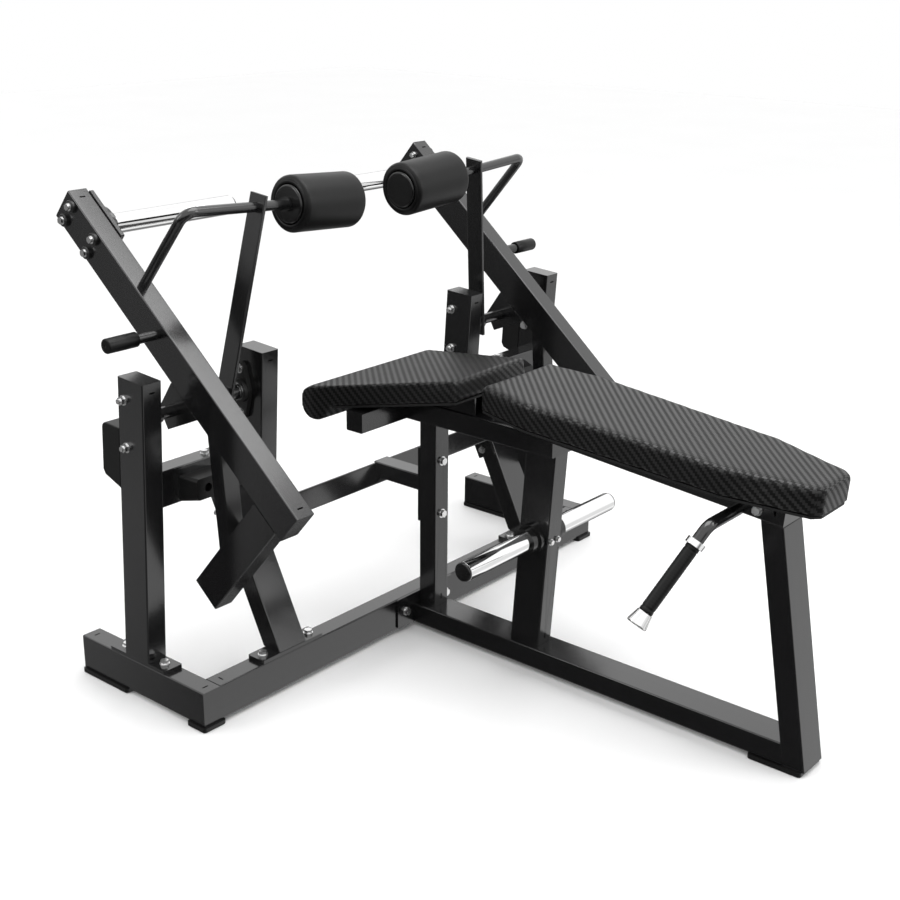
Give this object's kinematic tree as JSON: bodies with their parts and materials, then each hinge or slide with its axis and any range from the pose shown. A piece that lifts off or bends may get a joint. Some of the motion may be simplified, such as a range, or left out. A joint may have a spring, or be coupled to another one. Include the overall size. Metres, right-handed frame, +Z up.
{
  "type": "plate-loaded prone leg curl machine",
  "caption": "Plate-loaded prone leg curl with independent swinging levers, foam ankle rollers, split vinyl bench, loading horns and a plate storage bar",
  "frame": {"origin": "bottom centre of the bounding box, on the floor", "axes": "+X from the knee end to the head end of the bench, +Y to the right-hand lever side, +Z up"},
  "size_m": [1.8042, 1.6242, 1.2435],
  "materials": {
    "black_coat": "gloss black powder coat with a fine orange-peel texture",
    "chrome_plate": "bright chrome plate",
    "zinc_bolts": "bright plated hex bolts, washers and nuts",
    "pad_vinyl": "black twill-embossed upholstery vinyl with a satin sheen",
    "stop_rubber": "moulded black rubber",
    "grip_rubber": "ribbed black grip rubber",
    "roller_foam": "dense closed-cell black foam with a smooth skin",
    "black_plastic": "moulded black plastic",
    "bearing_iron": "black painted cast housing"
  },
  "bodies": {
    "frame": {"base_beam": "black_coat", "bearings": "bearing_iron", "cross_beam": "black_coat", "foot_beam_left": "black_coat", "foot_beam_right": "black_coat", "foot_pads": "stop_rubber", "frame_bolts": "zinc_bolts", "front_post": "black_coat", "handle_bar": "black_coat", "handle_grips": "grip_rubber", "handle_trim": "chrome_plate", "horn_post": "black_coat", "inner_upright_left": "black_coat", "inner_upright_right": "black_coat", "link_tube": "black_coat", "long_pad": "pad_vinyl", "mid_beam": "black_coat", "mount_plates": "black_coat", "outer_upright_left": "black_coat", "outer_upright_right": "black_coat", "pad_beam": "black_coat", "raking_leg_left": "black_coat", "raking_leg_right": "black_coat", "rear_post": "black_coat", "stop_bumpers": "stop_rubber", "storage_bar": "chrome_plate", "storage_collars": "black_plastic", "thigh_beam": "black_coat", "thigh_pad": "pad_vinyl", "thigh_tube": "black_coat", "tie_beam_left": "black_coat", "tie_beam_right": "black_coat"},
    "left_lever": {"arm_left": "black_coat", "axle_left": "black_coat", "counter_tube_left": "black_coat", "horn_flange_left": "black_coat", "hub_block_left": "black_coat", "lever_bolts_left": "zinc_bolts", "loading_horn_left": "chrome_plate", "peg_grip_left": "grip_rubber", "peg_left": "black_coat", "roller_link_left": "black_coat", "roller_rod_left": "black_coat", "strut_left": "black_coat"},
    "right_lever": {"arm_right": "black_coat", "axle_right": "black_coat", "counter_tube_right": "black_coat", "horn_flange_right": "black_coat", "hub_block_right": "black_coat", "lever_bolts_right": "zinc_bolts", "loading_horn_right": "chrome_plate", "peg_grip_right": "grip_rubber", "peg_right": "black_coat", "roller_link_right": "black_coat", "roller_rod_right": "black_coat", "strut_right": "black_coat"},
    "left_roller": {"roller_core_left": "black_plastic", "roller_foam_left": "roller_foam"},
    "right_roller": {"roller_core_right": "black_plastic", "roller_foam_right": "roller_foam"}
  },
  "joints": [
    {"name": "left_lever_hinge", "type": "hinge", "parent": "frame", "child": "left_lever", "pos_m": [-0.49694, -0.6285, 0.723], "axis": [0, 1, 0], "range_deg": [-128, 13]},
    {"name": "left_roller_spin", "type": "hinge", "parent": "left_lever", "child": "left_roller", "pos_m": [-0.44711, -0.203, 1.16793], "axis": [0, -0.998, 0.0629], "continuous": true},
    {"name": "right_lever_hinge", "type": "hinge", "parent": "frame", "child": "right_lever", "pos_m": [-0.49694, 0.6285, 0.723], "axis": [0, 1, 0], "range_deg": [-128, 13]},
    {"name": "right_roller_spin", "type": "hinge", "parent": "right_lever", "child": "right_roller", "pos_m": [-0.44711, 0.203, 1.16793], "axis": [0, 0.998, 0.0629], "continuous": true}
  ]
}
